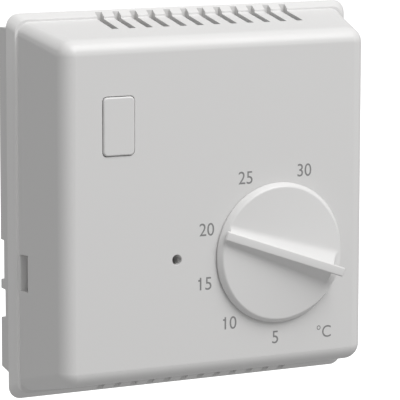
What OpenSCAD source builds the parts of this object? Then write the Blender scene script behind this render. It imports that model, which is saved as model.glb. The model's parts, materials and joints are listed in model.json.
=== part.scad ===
// Wall thermostat: a surface-mounted bimetal room thermostat in a vented two-part case.
// Millimetres. X runs right as seen from the front, +Y runs into the wall, Z runs up.
// The origin is the centre of the back face, on the wall plane, and the front faces -Y.
// Every sub-part is drawn on a bench plane: x right, y up, z out from the wall.
// on_wall() stands it up, and the heights below are all heights above the wall.

/* [Cover] */
// Width of the cover across its rim
cover_w = 75; // [74:0.5:100]
// Height of the cover across its rim
cover_h = 75; // [74:0.5:100]
// Height of the flat front face above the wall
face_z = 20.3; // [19.8:0.1:24.4]
// Wall thickness of the cover
cover_wall = 2; // [1.6:0.1:2.4]
// How far a side leans in between the ledge and the front face
side_draft = 3; // [1:0.1:4]
// Radius of the rounded front edge
front_r = 3.2; // [2.6:0.1:4]
// Radius of the upright corners at the rim
corner_r = 2.6; // [1.5:0.1:3]
// Height of the flared rim band
rim_t = 1.65; // [1.2:0.05:2]
// How far the rim band flares out towards the wall
rim_flare = 1.2; // [0.4:0.1:1.6]
// Width of the narrow ledge in front of the rim band
ledge_w = 0.5; // [0.3:0.1:0.8]

/* [Vents] */
// Number of vent slots along the top, and again along the bottom
vent_count = 12; // [6:1:14]
// Distance between vent slots
vent_pitch = 3.7; // [3:0.1:4.2]
// Width of one vent slot
vent_w = 1.35; // [1:0.05:1.6]
// How far a vent slot runs up the sloped side from the ledge
vent_run = 6.4; // [4:0.1:8]
// Sideways place of the middle of the vent rows
vent_x = 2.2; // [-4:0.1:4]
// Thickness of the rim left whole behind the vent slots
vent_lip = 0.5; // [0.4:0.1:0.8]

/* [Base] */
// Height of the base side wall, on which the cover rim sits
base_depth = 4.5; // [4:0.1:5]
// Thickness of the base floor
floor_t = 2; // [1.8:0.1:2.4]
// Thickness of the base side wall
base_wall = 1.8; // [1.4:0.1:2]
// How far the base sides stand in from the rim
base_in_x = 0.65; // [0.3:0.05:1]
// How far the base top and bottom stand in from the rim
base_in_z = 2.9; // [2.6:0.1:3.4]
// Chamfer of the two lower base corners
base_chamfer = 3; // [1:0.5:4]
// Distance between the two wall screws
wall_screw_pitch = 60; // [58:0.5:61]
// Width of a wall screw slot
wall_slot_w = 4.2; // [3.6:0.1:4.6]
// Length of a wall screw slot from end to end
wall_slot_len = 7; // [6:0.5:7]
// Width of the cable entry in the floor
entry_w = 15.6; // [10:0.2:15.6]
// Height of the cable entry in the floor
entry_h = 12; // [8:0.5:12]

/* [Knob] */
// Radius of the knob at its foot
knob_r = 13.85; // [13:0.05:16]
// Width of the bevel round the knob edge
knob_bevel = 0.9; // [0.4:0.1:1.2]
// Height of the knob face above the cover face
knob_t = 1.75; // [1.5:0.05:2.4]
// Height of the grip fin above the cover face, at its tall end
fin_top = 5.2; // [4:0.1:6.5]
// Height of the grip fin above the knob face, at its pointer end
fin_nose = 0.8; // [0.5:0.1:1.2]
// Width of the bar along the top of the grip fin
fin_w = 1.8; // [1.4:0.1:2.2]
// Thickness of the bar along the top of the grip fin
fin_bar = 0.9; // [0.6:0.1:1.2]
// Sideways flare of the fin flanks, for each millimetre of height
fin_flare = 0.95; // [0.6:0.05:1.1]
// How far the body of the fin leans back under the bar at its tall end
fin_lean = 1.4; // [0.5:0.1:2]
// Distance of the knob axis from the right edge of the cover
knob_from_right = 24; // [22:0.5:26]
// Distance of the knob axis from the bottom edge of the cover
knob_from_bottom = 27.4; // [27:0.2:32]
// Angle of the pointer from three o'clock, anticlockwise, at rest
pointer_deg = 160.5; // [150:0.5:170]
// Clockwise travel of the knob from rest to its warm end
knob_warm = 91; // [80:1:95]
// Anticlockwise travel of the knob from rest to its cold end
knob_cold = 108; // [95:1:115]

/* [Spindle and lever] */
// Radius of the spindle
spindle_r = 2; // [1.7:0.1:2.4]
// Cam radius under the lever nose at rest
cam_r = 4.46; // [4:0.02:4.8]
// Degrees of lever tilt for each degree of knob turn
lever_ratio = 0.015; // [0.01:0.001:0.018]
// Distance of the lever pivot to the left of the spindle
pivot_left = 21.5; // [20:0.5:23]
// Distance of the lever pivot above the spindle
pivot_up = 10.1; // [9:0.1:11]
// Radius of the lever pivot pin
pivot_r = 1.2; // [1:0.1:1.5]
// Radius of the lever nose that follows the cam
nose_r = 1.5; // [1:0.1:2]
// Radial clearance of a running fit
run_fit = 0.06; // [0.03:0.01:0.1]
// Gap kept between parts that move past each other
gap = 0.3; // [0.2:0.05:0.4]

/* [Contacts] */
// Thickness of the bimetal strip
strip_t = 0.5; // [0.4:0.05:0.8]
// Width of the bimetal strip
strip_w = 6; // [5:0.5:7]
// Length of the bimetal strip
strip_len = 26.5; // [24:0.5:28]
// Distance of the moving contact above the lever pivot
contact_up = 27; // [25:0.5:28]
// Gap between the contacts at rest
contact_gap = 1.2; // [1.15:0.05:1.5]
// Radius of a contact face
contact_r = 1.3; // [1:0.1:1.6]
// Radius of the snap magnet
magnet_r = 2.2; // [1.6:0.1:2.6]

/* [Terminals] */
// Distance between terminals
term_pitch = 8.2; // [7.8:0.1:8.4]
// Depth of the terminal block, front to back
term_d = 11; // [9:0.5:12]
// Radius of a terminal screw head
term_head_r = 2.3; // [1.8:0.1:2.6]
// Radius of the wire hole in a terminal clamp
wire_r = 1.5; // [1:0.1:1.7]

/* [Hidden] */
$fn = 48;
hull_fn = 32;
eps = 0.01;
step_in = 0.05;

// Cover outline
ledge_z = base_depth + rim_t;
ledge_in = rim_flare + ledge_w;
draft_deg = atan(side_draft / (face_z - ledge_z));
rim_cavity_in = 2.9;
rim_cavity_top = ledge_z - 0.4;

// Blanking insert, measured from the upper left corner of the cover
insert_w = 6.6;
insert_h = 11.2;
insert_r = 0.9;
insert_x = -cover_w / 2 + 16.1;
insert_y = cover_h / 2 - 20.8;
insert_clear = 0.12;
insert_proud = 0.3;

// Lips, latches and break-outs of the base: spans are low and high places along the side
lip_spans = [[14, 26], [-28, -20]];
lip_t = 1.2;
lip_clear = 0.25;
latch_clear = 0.15;
latch_end_clear = 0.35;
latch_nose = 1.3;
breakout_spans = [[-4.3, 3.4, 1.4], [-11.8, -6.2, 1.9]];
bridge_screw_r = 0.82;
bridge_hole_r = 0.85;
hole_fit = 0.03;

// Knob and spindle axis, and what is measured from it
knob_x = cover_w / 2 - knob_from_right;
knob_y = -cover_h / 2 + knob_from_bottom;
knob_gap = 0.25;
knob_foot_z = face_z + knob_gap;
fin_reach = knob_r - knob_bevel - step_in;
recess_r = knob_r - 2;
recess_d = 2;
recess_z = face_z - recess_d;
lamp_x = knob_x - 22.4;
lamp_y = knob_y + 0.2;
lamp_r = 1;

// Range rings and their stop
ring_in_r = 5.4;
ring_w = 2;
ring_gap = 0.2;
ring_z = face_z - 1;
lug_deg = 8;
lug_z = ring_z - 0.75;
stop_deg = 10;
stop_z = lug_z + 0.55;
lug_clear = (stop_deg + lug_deg) / 2 + 3;

// Spindle heights
spindle_pin_r = 1.5;
bearing_r = 3.4;
bearing_z = 5;
cam_z = bearing_z + 0.4;
cam_t = 3;
bridge_z = cam_z + cam_t + 0.9;
bridge_t = 1.5;
bridge_post_r = 2.2;
bridge_span = cam_r + bridge_post_r + 1.04;
clip_z = bridge_z + bridge_t + 0.25;
clip_t = 0.7;
groove_d = 0.5;
spindle_top = face_z + 1;
flat_d = 0.5;
flat_z = recess_z - 1.9;

// Cover screw, under the knob
screw_y = knob_y - 8.6;
screw_r = 1.3;
screw_head_r = 2.4;
screw_boss_r = 3.6;
screw_seat_z = recess_z - 2;
screw_post_z = recess_z - 5;
screw_post_r = 2.5;

// Latches
latch_y = knob_y - 2.3;
latch_len = 7.1;
latch_z = ledge_z + 0.3;
latch_h = 2.4;
latch_arm_t = 1.3;

// Lever
pivot_x = knob_x - pivot_left;
pivot_y = knob_y + pivot_up;
cam_rise = pivot_left * lever_ratio * PI / 180;
nose_y = knob_y + cam_r + gap + nose_r;
hub_r = 3.2;
hub_z = 3.3;
hub_top = 9.6;
arm_w = 2 * nose_r - 0.2;
tab_t = 2.2;
tab_y = pivot_y + 3.5;
tab_len = 7.5;
spring_wire = 0.3;
spring_turns = 2.75;
spring_leg_1 = 7;
spring_leg_2 = 9;
strip_gap = 0.12;

// Bimetal strip, standing on edge above the lever pivot
strip_x = pivot_x;
strip_y = pivot_y + 3.5;
strip_z = 7.5;
strip_mid = strip_z + strip_w / 2;
flex_y = tab_y + tab_len / 2;
contact_y = pivot_y + contact_up;
contact_t = 0.8;
contact_face = strip_x - strip_t / 2 - contact_t;
rivet_r = 0.8;
rivet_head_r = 1.4;
rivet_head_t = 0.6;
rivet_step = 3.6;

// Contact bracket and magnet, to the left of the strip
bracket_t = 1;
bracket_top = 14;
bracket_len = 8;
bracket_x = contact_face - contact_gap - contact_t;
armature_y = contact_y - 9;
armature_len = 5;
armature_t = 0.6;
magnet_t = 2.2;
magnet_face = strip_x - strip_t / 2 - armature_t - 1.5;
holder_x = magnet_face - magnet_t;
holder_foot = 8;
cal_r = 1.5;
cal_len = 6.5;
cal_head_r = 2.4;

// Terminals, buses and resistor
term_count = 4;
term_x = knob_x - 44.5;
term_top_y = knob_y - 12;
term_h = 10;
term_w = term_count * term_pitch + 1;
term_z = 13;
clamp_w = 6;
clamp_top = 9.5;
bus_t = 0.8;
bus_w = 1.2;
line_w = 2.4;
line_x = pivot_x - 16;
load_x = pivot_x + 5.0;
bus_gap = 0.3;
row_w = 0.8;
neutral_x = load_x + bus_w + bus_gap;
load_row_y = term_top_y + row_w + bus_gap;
bus_top_y = pivot_y + 11.8;
res_r = 1.6;
res_len = 8;
res_z = 7.5;
res_x = pivot_x + 4.6;
lead_r = 0.35;
lever_lead_r = 0.5;
entry_x = term_x + 20;
entry_y = knob_y - 3.9;

function term_mid(i) = term_x + 0.5 + (i + 0.5) * term_pitch;

// ---------------------------------------------------------------- helpers

module on_wall() rotate([90, 0, 0]) children();

module both_sides() for (s = [-1, 1]) scale([s, 1, 1]) children();

module at(x, y, z = 0) translate([x, y, z]) children();

// Upright cylinder between two heights
module rod(r, z0, z1) translate([0, 0, z0]) cylinder(r = r, h = z1 - z0);

// Cylinder along x from x0 to x1
module cross_rod(r, x0, x1) translate([x0, 0, 0]) rotate([0, 90, 0]) cylinder(r = r, h = x1 - x0);

// Box between two corners
module block(x0, x1, y0, y1, z0, z1) translate([x0, y0, z0]) cube([x1 - x0, y1 - y0, z1 - z0]);

module rounded_rect(w, h, r) {
  square([w - 2 * r, h], center = true);
  square([w, h - 2 * r], center = true);
  for (sx = [-1, 1], sy = [-1, 1]) translate([sx * (w / 2 - r), sy * (h / 2 - r)]) circle(r);
}

module rounded_plate(w, h, r, z0, z1)
  translate([0, 0, z0]) linear_extrude(z1 - z0) rounded_rect(w, h, r);

// Ring sector from radius r0 to r1, centred on angle a
module sector(r0, r1, a, width, z0, z1)
  rotate([0, 0, a - width / 2]) translate([0, 0, z0])
    rotate_extrude(angle = width) translate([r0, 0]) square([r1 - r0, z1 - z0]);

module ring(r0, r1, z0, z1) difference() {
  rod(r1, z0, z1);
  rod(r0, z0 - 1, z1 + 1);
}

// ---------------------------------------------------------------- case

// Distance of a sloped side from the middle at height z, set in by wall
function side_at(size, z, wall = 0) =
  size / 2 - ledge_in - (z - ledge_z) * tan(draft_deg) - wall / cos(draft_deg);

module corner_set(w, h) for (sx = [-1, 1], sy = [-1, 1]) translate([sx * w, sy * h, 0]) children();

// Sloped body with rounded front edges, set in by wall, from height z0
module sloped_body(wall, z0, edge_r) {
  zc = face_z - wall - edge_r;
  foot_r = max(corner_r - wall, 0.6);
  hull() {
    corner_set(side_at(cover_w, z0, wall) - foot_r, side_at(cover_h, z0, wall) - foot_r)
      rod(foot_r, z0, z0 + eps, $fn = hull_fn);
    corner_set(side_at(cover_w, zc, wall) - edge_r / cos(draft_deg),
               side_at(cover_h, zc, wall) - edge_r / cos(draft_deg))
      translate([0, 0, zc]) sphere(edge_r / cos(180 / hull_fn), $fn = hull_fn);
  }
}

module rim_band() hull() {
  corner_set(cover_w / 2 - corner_r, cover_h / 2 - corner_r)
    rod(corner_r, base_depth, base_depth + eps, $fn = hull_fn);
  corner_set(cover_w / 2 - rim_flare - corner_r, cover_h / 2 - rim_flare - corner_r)
    rod(corner_r, ledge_z - eps, ledge_z, $fn = hull_fn);
}

module vent_slots() for (i = [0 : vent_count - 1], s = [-1, 1])
  translate([vent_x + (i - (vent_count - 1) / 2) * vent_pitch, 0, 0]) scale([1, s, 1])
    block(-vent_w / 2, vent_w / 2, side_at(cover_h, ledge_z + vent_run, cover_wall) - 1,
          cover_h / 2 + 1, base_depth + vent_lip, ledge_z + vent_run);

module latch_windows() both_sides()
  block(side_at(cover_w, latch_z + latch_h, cover_wall) - 1, cover_w / 2,
        latch_y - latch_len / 2, latch_y + latch_len / 2, latch_z, latch_z + latch_h);

// Stop that the lugs of the range rings run up against
module range_stop() at(knob_x, knob_y)
  sector(ring_in_r + 0.2, ring_in_r + 2 * ring_w + ring_gap, 0, stop_deg, recess_z - 0.5, stop_z);

module front_cover() color("white") on_wall() {
  difference() {
    union() {
      difference() {
        union() {
          rim_band();
          sloped_body(0, ledge_z - eps, front_r);
        }
        sloped_body(cover_wall, rim_cavity_top - eps, front_r - cover_wall + 0.4);
        rounded_plate(cover_w - 2 * rim_cavity_in, cover_h - 2 * rim_cavity_in, 1,
                      base_depth - 1, rim_cavity_top);
      }
      at(knob_x, knob_y) rod(recess_r + cover_wall, recess_z - cover_wall, face_z - cover_wall + eps);
      at(knob_x, screw_y) rod(screw_boss_r, screw_post_z, recess_z);
      at(lamp_x, lamp_y) rod(lamp_r + 1.2, face_z - cover_wall - 1.5, face_z - cover_wall + eps);
    }
    vent_slots();
    latch_windows();
    at(knob_x, knob_y) rod(recess_r, recess_z, face_z + 1);
    at(knob_x, knob_y) rod(spindle_r + 1.8, recess_z - 3, face_z);
    at(knob_x, screw_y) rod(screw_head_r + 0.3, screw_seat_z, face_z);
    at(knob_x, screw_y) rod(screw_r + 0.3, screw_post_z - 1, face_z);
    at(lamp_x, lamp_y) rod(lamp_r, face_z - 6, face_z + 1);
    at(insert_x, insert_y) rounded_plate(insert_w + 2 * insert_clear, insert_h + 2 * insert_clear,
                                         insert_r, face_z - cover_wall - 1, face_z + 1);
  }
  range_stop();
}

module base_outline(inset) {
  w = cover_w / 2 - base_in_x - inset;
  h = cover_h / 2 - base_in_z - inset;
  c = base_chamfer - inset * 0.586;
  polygon([[-w, -h + c], [-w + c, -h], [w - c, -h], [w, -h + c], [w, h], [-w, h]]);
}

// Break-outs for surface cable, cut from the wall side of the left and right edges
module breakouts() both_sides() for (b = breakout_spans)
  block(cover_w / 2 - base_in_x - base_wall, cover_w / 2, knob_y + b[0], knob_y + b[1], -1, b[2]);

module wall_slots() both_sides() translate([wall_screw_pitch / 2, 0, 0]) wall_slot();

module wall_slot() {
  half = (wall_slot_len - wall_slot_w) / 2;
  for (s = [-1, 1]) translate([s * half, 0, 0]) rod(wall_slot_w / 2, -1, floor_t + 1);
  block(-half, half, -wall_slot_w / 2, wall_slot_w / 2, -1, floor_t + 1);
}

module latch_arms() both_sides() {
  x1 = side_at(cover_w, latch_z + latch_h, cover_wall) - latch_clear;
  y0 = latch_y - latch_len / 2 + latch_end_clear;
  y1 = latch_y + latch_len / 2 - latch_end_clear;
  block(x1 - latch_arm_t, x1, y0, y1, floor_t - eps, latch_z + latch_h + 0.6);
  translate([0, y1, 0]) rotate([90, 0, 0]) linear_extrude(y1 - y0) polygon([
    [x1 - eps, latch_z + 0.3], [x1 + latch_nose, latch_z + 0.3],
    [x1 + latch_nose, latch_z + 0.9], [x1 - eps, latch_z + latch_h - 0.3]]);
}

// Lip inside the side walls that centres the cover
module cover_lips() both_sides() for (y = lip_spans)
  block(cover_w / 2 - rim_cavity_in - lip_clear - lip_t, cover_w / 2 - rim_cavity_in - lip_clear,
        y[0], y[1], floor_t - eps, rim_cavity_top - 0.15);

module bridge_points() for (s = [-1, 1]) at(knob_x + s * bridge_span, knob_y) children();

module rivet_points() {
  at(bracket_x - bracket_t - 5, contact_y) children();
  at(holder_x - bracket_t - 4.4, armature_y - 2.6) children();
  at(holder_x - bracket_t - 4.4, armature_y + 2.6) children();
}

module base_plate() color("white") on_wall() difference() {
  union() {
    difference() {
      linear_extrude(base_depth) base_outline(0);
      translate([0, 0, floor_t]) linear_extrude(base_depth) base_outline(base_wall);
    }
    latch_arms();
    cover_lips();
    at(knob_x, knob_y) rod(bearing_r, floor_t - eps, bearing_z);
    bridge_points() rod(bridge_post_r, floor_t - eps, bridge_z);
    at(knob_x, screw_y) rod(screw_post_r, floor_t - eps, screw_post_z);
    at(pivot_x, pivot_y) rod(hub_r, floor_t - eps, hub_z - 0.2);
  }
  breakouts();
  wall_slots();
  block(entry_x - entry_w / 2, entry_x + entry_w / 2, entry_y - entry_h / 2, entry_y + entry_h / 2,
        -1, floor_t + 1);
  at(knob_x, knob_y) rod(spindle_pin_r + run_fit, bearing_z - 2.8, bearing_z + 1);
  bridge_points() rod(bridge_hole_r, bridge_z - 4, bridge_z + 1);
  at(knob_x, screw_y) rod(screw_r + hole_fit, 3, screw_post_z + 1);
  at(pivot_x, pivot_y) rod(pivot_r + 0.02, 0.8, hub_z + 1);
  rivet_points() rod(rivet_r + hole_fit, -1, floor_t + 1);
}

module blanking_insert() color("white") on_wall() at(insert_x, insert_y) {
  rounded_plate(insert_w, insert_h, insert_r, face_z - cover_wall - 0.5, face_z + insert_proud);
  rounded_plate(insert_w + 1.6, insert_h + 1.6, insert_r + 0.3,
                face_z - cover_wall - 1.1, face_z - cover_wall - 0.02);
}

module cover_screw() color("silver") on_wall() at(knob_x, screw_y) difference() {
  union() {
    rod(screw_head_r, screw_seat_z, screw_seat_z + 1.7);
    rod(screw_r, 4, screw_seat_z + eps);
  }
  block(-screw_head_r, screw_head_r, -0.3, 0.3, screw_seat_z + 0.9, screw_seat_z + 2);
}

// ---------------------------------------------------------------- knob and spindle

// Height of the top of the grip fin at x along the pointer line
function fin_z(x) = knob_t + fin_nose
  + (fin_top - knob_t - fin_nose) * (x + fin_reach) / (2 * fin_reach);

// Prism along the pointer line from trapezoid sections. Each end is
// [x of its foot, foot half-width, foot height, x of its top, top half-width, top height].
module fin_prism(nose, tail) {
  points = [for (e = [nose, tail]) for (p = [
    [e[0], -e[1], e[2]], [e[0], e[1], e[2]], [e[3], e[4], e[5]], [e[3], -e[4], e[5]]]) p];
  polyhedron(points, [[0, 1, 2, 3], [7, 6, 5, 4], [0, 4, 5, 1], [1, 5, 6, 2], [2, 6, 7, 3], [3, 7, 4, 0]]);
}

// Grip fin along the pointer line: low at the pointer and tall at the opposite end, where the bar
// on top overhangs the body. The flanks run down into the knob face and end a little below it.
module fin() {
  foot_z = knob_t - 0.4;
  top_half = fin_w / 2 - 0.25;
  function body_z(x) = fin_z(x) - fin_bar + 0.2;
  function foot(x) = top_half + (body_z(x) - foot_z) * fin_flare;
  tail = knob_r - 2;
  fin_prism([-knob_r, foot(-knob_r), foot_z, -knob_r, top_half, body_z(-knob_r)],
            [tail, foot(tail), foot_z, tail - fin_lean, top_half, body_z(tail - fin_lean)]);
  fin_prism([-knob_r, fin_w / 2, fin_z(-knob_r) - fin_bar, -knob_r, fin_w / 2, fin_z(-knob_r)],
            [knob_r, fin_w / 2, fin_z(knob_r) - fin_bar, knob_r, fin_w / 2, fin_z(knob_r)]);
}

// Round bore with a flat on one side
module flatted(r, flat, z0, z1) difference() {
  rod(r, z0, z1);
  block(-r - 1, r + 1, r - flat, r + 2, z0 - 1, z1 + 1);
}

module knob() color("white") on_wall() at(knob_x, knob_y) difference() {
  union() {
    translate([0, 0, face_z]) rotate_extrude() polygon([
      [0, knob_gap], [knob_r, knob_gap], [knob_r, knob_t - knob_bevel],
      [knob_r - knob_bevel, knob_t], [0, knob_t]]);
    translate([0, 0, face_z]) rotate([0, 0, pointer_deg + 180]) intersection() {
      fin();
      rod(fin_reach, 0, fin_top + 1);
    }
    rod(ring_in_r - 0.1, ring_z, knob_foot_z + eps);
    rod(spindle_r + 1.3, recess_z - 1.4, ring_z + eps);
  }
  rotate([0, 0, pointer_deg]) flatted(spindle_r + run_fit, flat_d, recess_z - 2, spindle_top + 0.2);
}

// Range ring under the knob, with the lug that meets the stop in the cover
module range_ring(r0, lug_a) on_wall() at(knob_x, knob_y) {
  ring(r0, r0 + ring_w, ring_z, knob_foot_z);
  sector(r0 + step_in, r0 + ring_w - step_in, lug_a, lug_deg, lug_z, ring_z + eps);
}

module range_ring_min() color("royalblue") range_ring(ring_in_r, -knob_cold - lug_clear);

module range_ring_max() color("firebrick")
  range_ring(ring_in_r + ring_w + ring_gap, knob_warm + lug_clear);

// Cam whose radius grows evenly with angle, so that the lever tilt follows the knob turn
module cam() {
  from = -knob_cold - 20;
  to = knob_warm + 20;
  steps = 60;
  translate([0, 0, cam_z]) linear_extrude(cam_t) polygon(concat(
    [for (i = [0 : steps]) let (a = from + (to - from) * i / steps)
      (cam_r + cam_rise * a) * [cos(90 + a), sin(90 + a)]],
    [[-0.1, -spindle_r - 1.2]]));
}

module spindle() color("ivory") on_wall() at(knob_x, knob_y) {
  rod(spindle_pin_r, bearing_z - 2.5, cam_z + eps);
  rod(spindle_r + 1, cam_z, cam_z + cam_t + 0.4);
  cam();
  rod(spindle_r, cam_z, clip_z);
  rod(spindle_r - groove_d, clip_z - eps, clip_z + clip_t + eps);
  difference() {
    rod(spindle_r, clip_z + clip_t, spindle_top);
    rotate([0, 0, pointer_deg])
      block(-spindle_r - 1, spindle_r + 1, spindle_r - flat_d, spindle_r + 1, flat_z, spindle_top + 1);
  }
}

module spindle_clip() color("dimgray") on_wall() at(knob_x, knob_y) difference() {
  ring(spindle_r - groove_d, spindle_r + 1.3, clip_z, clip_z + clip_t);
  block(-1.2, 1.2, 0, spindle_r + 3, clip_z - 1, clip_z + clip_t + 1);
}

module spindle_bridge() color("silver") on_wall() at(knob_x, knob_y) difference() {
  union() {
    block(-bridge_span, bridge_span, -3.4, 3.4, bridge_z, bridge_z + bridge_t);
    for (s = [-1, 1]) at(s * bridge_span, 0) rod(3.4, bridge_z, bridge_z + bridge_t);
  }
  rod(spindle_r + run_fit, bridge_z - 1, bridge_z + bridge_t + 1);
  for (s = [-1, 1]) at(s * bridge_span, 0) rod(1.1, bridge_z - 1, bridge_z + bridge_t + 1);
}

module bridge_screws() color("gray") on_wall() bridge_points() difference() {
  union() {
    rod(bridge_screw_r, bridge_z - 3.6, bridge_z + bridge_t + eps);
    rod(1.9, bridge_z + bridge_t, bridge_z + bridge_t + 1.2);
  }
  block(-2, 2, -0.25, 0.25, bridge_z + bridge_t + 0.6, bridge_z + bridge_t + 2);
}

// ---------------------------------------------------------------- lever and bimetal

module adjusting_lever() color("ivory") on_wall() difference() {
  arm_dx = knob_x - pivot_x;
  arm_dy = nose_y - pivot_y;
  union() {
    at(pivot_x, pivot_y) rod(hub_r, hub_z, hub_top);
    at(pivot_x, pivot_y) rotate([0, 0, atan2(arm_dy, arm_dx)])
      block(0, norm([arm_dx, arm_dy]), -arm_w / 2, arm_w / 2, cam_z + 0.2, cam_z + cam_t - 0.2);
    at(knob_x, nose_y) rod(nose_r, cam_z + 0.2, cam_z + cam_t - 0.2);
    block(strip_x + strip_t / 2 + strip_gap, strip_x + strip_t / 2 + strip_gap + tab_t,
          pivot_y + 1, tab_y + tab_len, hub_z + 2, strip_z + strip_w);
  }
  at(pivot_x, pivot_y) rod(pivot_r + run_fit, hub_z - 1, hub_top + 1);
  at(pivot_x, pivot_y) rod(pivot_r + 1.3, hub_top, strip_z + strip_w + 1);
  rivet_axes() cross_rod(rivet_r + 0.1, 0, 6);
}

// The two rivet axes through the foot of the bimetal strip, along x
module rivet_axes() for (s = [-0.5, 0.5])
  translate([strip_x, flex_y + s * rivet_step, strip_mid]) children();

module lever_pivot_pin() color("silver") on_wall() at(pivot_x, pivot_y) {
  rod(pivot_r, 1, hub_top + 0.25);
  rod(pivot_r + 0.9, hub_top + 0.2, hub_top + 1);
}

// Torsion spring round the foot of the lever hub: a wire swept along its turns and two legs.
// Each station of the wire is [centre, direction of its radius].
function spring_stations() = let (
    r = hub_r + 0.8, from = 180, to = from + 360 * spring_turns, step = 20,
    place = function (a) [r * cos(a), r * sin(a), spring_wire * (1 + 2.2 * (a - from) / 360)],
    start = place(from) + spring_leg_1 * [sin(from), -cos(from), 0],
    finish = place(to) + spring_leg_2 * [-sin(to), cos(to), 0]
  ) concat([[start, from]], [for (a = [from : step : to]) [place(a), a]], [[finish, to]]);

module swept_wire(stations, r, sides = 8) {
  n = len(stations);
  points = [for (s = stations, i = [0 : sides - 1]) let (b = 360 * i / sides)
    s[0] + r * [cos(b) * cos(s[1]), cos(b) * sin(s[1]), sin(b)]];
  walls = [for (k = [0 : n - 2], i = [0 : sides - 1]) let (j = (i + 1) % sides)
    [k * sides + i, k * sides + j, (k + 1) * sides + j, (k + 1) * sides + i]];
  polyhedron(points, concat(walls,
    [[for (i = [sides - 1 : -1 : 0]) i], [for (i = [0 : sides - 1]) (n - 1) * sides + i]]));
}

module lever_spring() color("darkgray") on_wall()
  at(pivot_x, pivot_y, floor_t + 0.05) swept_wire(spring_stations(), spring_wire);

module bimetal_strip() color("darkgoldenrod") on_wall() difference() {
  block(strip_x - strip_t / 2, strip_x + strip_t / 2, strip_y, strip_y + strip_len,
        strip_z, strip_z + strip_w);
  rivet_axes() cross_rod(rivet_r, -2, 2);
  translate([strip_x, contact_y, strip_mid]) cross_rod(0.7, -2, 2);
}

module bimetal_rivets() color("silver") on_wall() rivet_axes() {
  half = strip_t / 2;
  far = half + 2 * strip_gap + tab_t;
  cross_rod(rivet_r, -half - eps, far + eps);
  cross_rod(rivet_head_r, -half - rivet_head_t, -half);
  cross_rod(rivet_head_r, far, far + rivet_head_t);
}

module armature_plate() color("gray") on_wall()
  block(strip_x - strip_t / 2 - armature_t, strip_x - strip_t / 2,
        armature_y - armature_len / 2, armature_y + armature_len / 2,
        strip_z + 0.5, strip_z + strip_w - 0.5);

module moving_contact() color("silver") on_wall() translate([strip_x, contact_y, strip_mid]) {
  cross_rod(contact_r, -strip_t / 2 - contact_t, -strip_t / 2);
  cross_rod(0.7, -strip_t / 2 - eps, strip_t / 2 + eps);
  cross_rod(1.1, strip_t / 2, strip_t / 2 + 0.35);
}

module fixed_contact() color("silver") on_wall() translate([bracket_x, contact_y, strip_mid]) {
  cross_rod(contact_r, 0, contact_t);
  cross_rod(0.7, -bracket_t - 0.4, eps);
}

// Bent plate: a foot on the floor and an upright, with its bend at x
module bent_plate(x, y, len, foot, top) {
  block(x - bracket_t, x, y - len / 2, y + len / 2, floor_t, top);
  block(x - bracket_t - foot, x - bracket_t + eps, y - len / 2, y + len / 2,
        floor_t, floor_t + bracket_t);
}

module contact_bracket() color("gold") on_wall() difference() {
  bent_plate(bracket_x, contact_y, bracket_len, bracket_x - bracket_t - line_x - line_w, bracket_top);
  translate([bracket_x, contact_y, strip_mid]) cross_rod(0.7, -2, 2);
  rivet_points() rod(rivet_r + 0.03, 0, floor_t + 2);
}

module magnet() color("dimgray") on_wall() translate([holder_x, armature_y, strip_mid])
  cross_rod(magnet_r, 0, magnet_t);

module magnet_holder() color("silver") on_wall() difference() {
  bent_plate(holder_x - 0.3, armature_y, bracket_len, holder_foot - 1.4, bracket_top);
  translate([holder_x, armature_y, strip_mid]) cross_rod(cal_r + 0.03, -4, 1);
  rivet_points() rod(rivet_r + 0.03, 0, floor_t + 2);
}

module calibration_screw() color("goldenrod") on_wall()
  translate([holder_x, armature_y, strip_mid]) difference() {
    union() {
      cross_rod(cal_r, -cal_len, 0);
      cross_rod(cal_head_r, -cal_len - 1.4, -cal_len + eps);
    }
    block(-cal_len - 2, -cal_len - 0.7, -0.35, 0.35, -cal_head_r - 1, cal_head_r + 1);
  }

module bracket_rivets() color("silver") on_wall() rivet_points() {
  rod(rivet_r, 0.4, floor_t + bracket_t + eps);
  rod(rivet_head_r, floor_t + bracket_t, floor_t + bracket_t + rivet_head_t);
}

// ---------------------------------------------------------------- terminals and wiring

module terminal_block() color("whitesmoke") on_wall() difference() {
  block(term_x, term_x + term_w, term_top_y - term_h, term_top_y, floor_t, floor_t + term_d);
  for (i = [0 : term_count - 1]) at(term_mid(i), 0) {
    block(-clamp_w / 2 - 0.15, clamp_w / 2 + 0.15, term_top_y - 8.2, term_top_y + 1,
          floor_t - 1, clamp_top + 0.2);
    at(0, term_top_y - 4) rod(term_head_r + 0.25, clamp_top - 1, floor_t + term_d + 1);
  }
}

module terminal_clamps() color("gold") on_wall() for (i = [0 : term_count - 1])
  at(term_mid(i), term_top_y - 4) difference() {
    block(-clamp_w / 2, clamp_w / 2, -4, 3.8, floor_t + bus_t, clamp_top);
    translate([0, 5, floor_t + bus_t + 2.4]) rotate([90, 0, 0]) rod(wire_r, 0, 7.5);
    rod(1.25, floor_t + bus_t + 2.4, clamp_top + 1);
  }

module terminal_screws() color("silver") on_wall() for (i = [0 : term_count - 1])
  at(term_mid(i), term_top_y - 4) difference() {
    union() {
      rod(1.22, floor_t + bus_t + 4.2, clamp_top + 0.6);
      rod(term_head_r, clamp_top + 0.5, clamp_top + 2.5);
    }
    block(-3, 3, -0.35, 0.35, clamp_top + 1.6, clamp_top + 3);
  }

// Flat conductor on the floor between two corners
module bus(x0, x1, y0, y1) block(x0, x1, y0, y1, floor_t, floor_t + bus_t);

module line_bus() color("gold") on_wall() {
  bus(term_mid(1) - 2, term_mid(1) + 2, term_top_y - 7, term_top_y + eps);
  bus(line_x, term_mid(1) + 2, term_top_y, term_top_y + 1.5);
  bus(line_x, line_x + line_w, term_top_y, contact_y + bracket_len / 2);
}

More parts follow.
